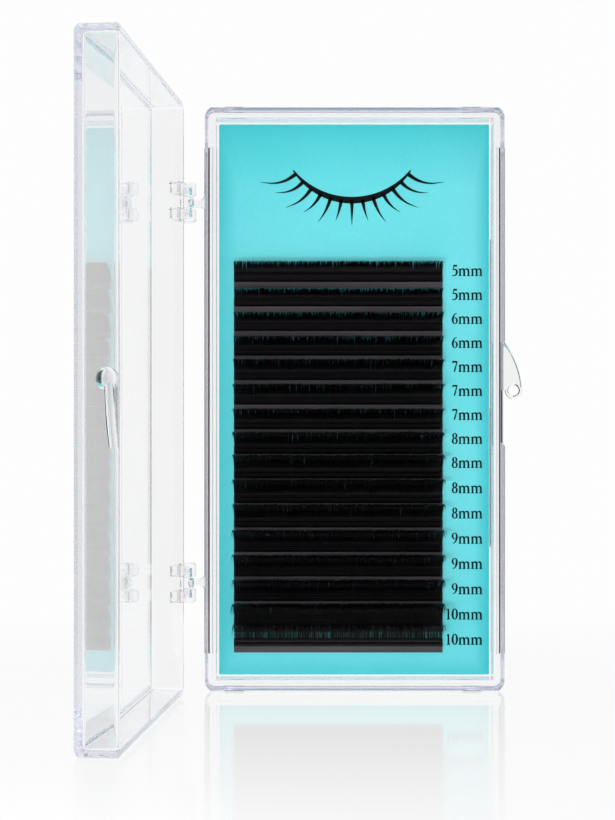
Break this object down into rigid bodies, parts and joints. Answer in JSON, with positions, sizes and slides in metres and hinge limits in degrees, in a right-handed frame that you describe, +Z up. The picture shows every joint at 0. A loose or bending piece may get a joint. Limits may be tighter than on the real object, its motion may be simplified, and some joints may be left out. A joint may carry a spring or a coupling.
{
  "type": "lash palette",
  "caption": "Clear hinged case standing open on its short side, with rows of curled black lash strips of growing length on a teal card.",
  "frame": {"origin": "Middle of the tray's foot, the short wall that the case stands on.", "axes": "+Z up along the case's long side, +X to the right and +Y away for a person who looks into the open tray."},
  "size_m": [0.0734, 0.0677, 0.1072],
  "materials": {
    "clear_plastic": "clear polished moulding",
    "card_print": "matt printed card",
    "tape_satin": "satin grey-black tape",
    "fibre_black": "soft black fibre"
  },
  "bodies": {
    "tray_body": {"tray": "clear_plastic", "card": "card_print", "lash_tape_01": "tape_satin", "lash_row_01": "fibre_black", "lash_tape_02": "tape_satin", "lash_row_02": "fibre_black", "lash_tape_03": "tape_satin", "lash_row_03": "fibre_black", "lash_tape_04": "tape_satin", "lash_row_04": "fibre_black", "lash_tape_05": "tape_satin", "lash_row_05": "fibre_black", "lash_tape_06": "tape_satin", "lash_row_06": "fibre_black", "lash_tape_07": "tape_satin", "lash_row_07": "fibre_black", "lash_tape_08": "tape_satin", "lash_row_08": "fibre_black", "lash_tape_09": "tape_satin", "lash_row_09": "fibre_black", "lash_tape_10": "tape_satin", "lash_row_10": "fibre_black", "lash_tape_11": "tape_satin", "lash_row_11": "fibre_black", "lash_tape_12": "tape_satin", "lash_row_12": "fibre_black", "lash_tape_13": "tape_satin", "lash_row_13": "fibre_black", "lash_tape_14": "tape_satin", "lash_row_14": "fibre_black", "lash_tape_15": "tape_satin", "lash_row_15": "fibre_black", "lash_tape_16": "tape_satin", "lash_row_16": "fibre_black"},
    "lid_body": {"lid": "clear_plastic"}
  },
  "joints": [
    {"name": "lid_swing", "type": "hinge", "parent": "tray_body", "child": "lid_body", "pos_m": [-0.03075, -0.00345, 0.0536], "axis": [0, 0, -1], "range_deg": [-95.3, 84.7]}
  ]
}
